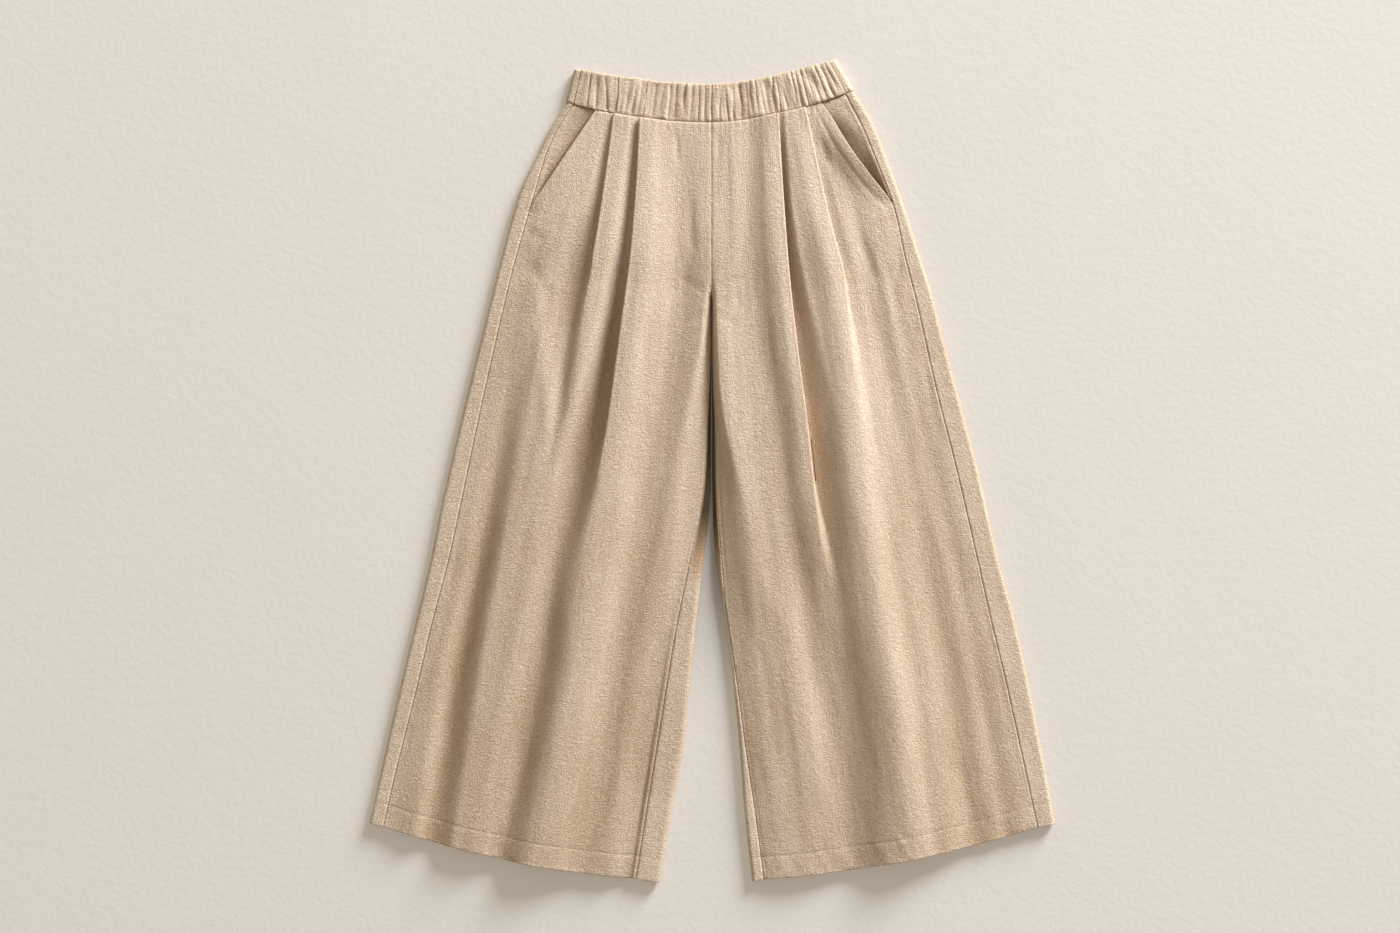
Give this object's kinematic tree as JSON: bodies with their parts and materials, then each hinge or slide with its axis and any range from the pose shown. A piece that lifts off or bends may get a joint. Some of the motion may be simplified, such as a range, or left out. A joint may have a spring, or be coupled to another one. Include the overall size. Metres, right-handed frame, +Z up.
{
  "type": "palazzo trousers",
  "caption": "Wide-legged palazzo trousers laid flat, front up: gathered elasticated waistband, knife pleats, slanted pockets, hems turned up.",
  "frame": {"origin": "on the surface the trousers lie on, under the centre of their outline", "axes": "+Z up from the surface, +Y from the hems to the waist, +X to the wearer's left"},
  "size_m": [0.8338, 0.9998, 0.0288],
  "materials": {
    "cloth": "soft matte slubby weave"
  },
  "bodies": {
    "root": {"front_right": "cloth", "front_left": "cloth", "back_right": "cloth", "back_left": "cloth", "hip_right": "cloth", "hip_left": "cloth", "waistband_front_right": "cloth", "waistband_front_left": "cloth", "waistband_back": "cloth"}
  },
  "joints": []
}
